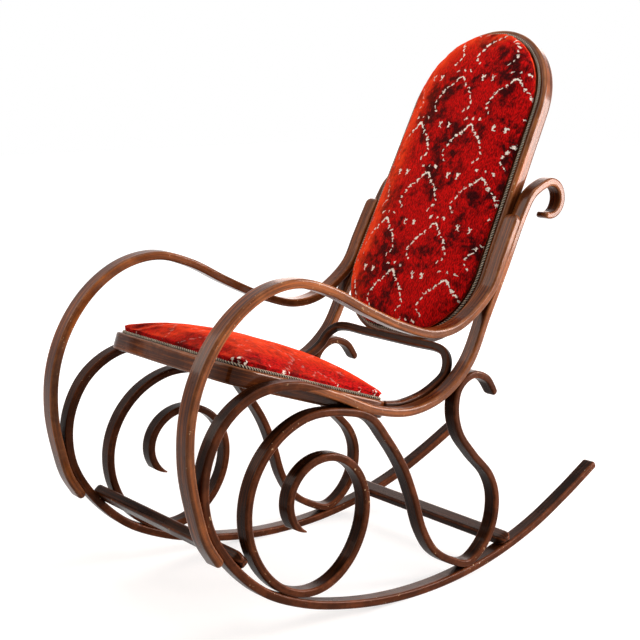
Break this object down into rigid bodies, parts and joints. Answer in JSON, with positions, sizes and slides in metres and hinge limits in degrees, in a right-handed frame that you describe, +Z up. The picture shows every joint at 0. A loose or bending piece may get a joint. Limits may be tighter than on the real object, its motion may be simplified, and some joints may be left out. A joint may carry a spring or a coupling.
{
  "type": "bentwood rocking chair",
  "caption": "Bentwood rocking chair with scrolled sides, sweeping arms, a tall velvet-covered back in a bent hoop and a sloping velvet-covered seat.",
  "frame": {"origin": "middle of the footprint at floor level: under the middle of the overall box, halfway between the front of the arms and the tails of the rockers", "axes": "+Z up; the sitter faces -Y; +X is the sitter's left; the plane X = 0 is the plane of symmetry"},
  "size_m": [0.4986, 1.0775, 1.0776],
  "materials": {
    "bentwood": "dark walnut stain under worn semi-gloss varnish",
    "backboard": "dark stained board",
    "velvet": "crimson cut velvet with a cream lattice pattern",
    "braid": "grey-beige twisted braid",
    "lining": "dark webbing and lining cloth"
  },
  "bodies": {
    "root": {"left_upright": "bentwood", "left_rocker": "bentwood", "left_scroll_spiral": "bentwood", "left_scroll_loop": "bentwood", "left_arm": "bentwood", "right_upright": "bentwood", "right_rocker": "bentwood", "right_scroll_spiral": "bentwood", "right_scroll_loop": "bentwood", "right_arm": "bentwood", "back_hoop": "bentwood", "back_panel": "backboard", "back_trim": "braid", "back_cushion": "velvet", "seat_ring": "bentwood", "seat_panel": "lining", "seat_trim": "braid", "seat_cushion": "velvet", "back_brace": "bentwood", "front_stretcher": "bentwood", "rear_stretcher": "bentwood"}
  },
  "joints": []
}
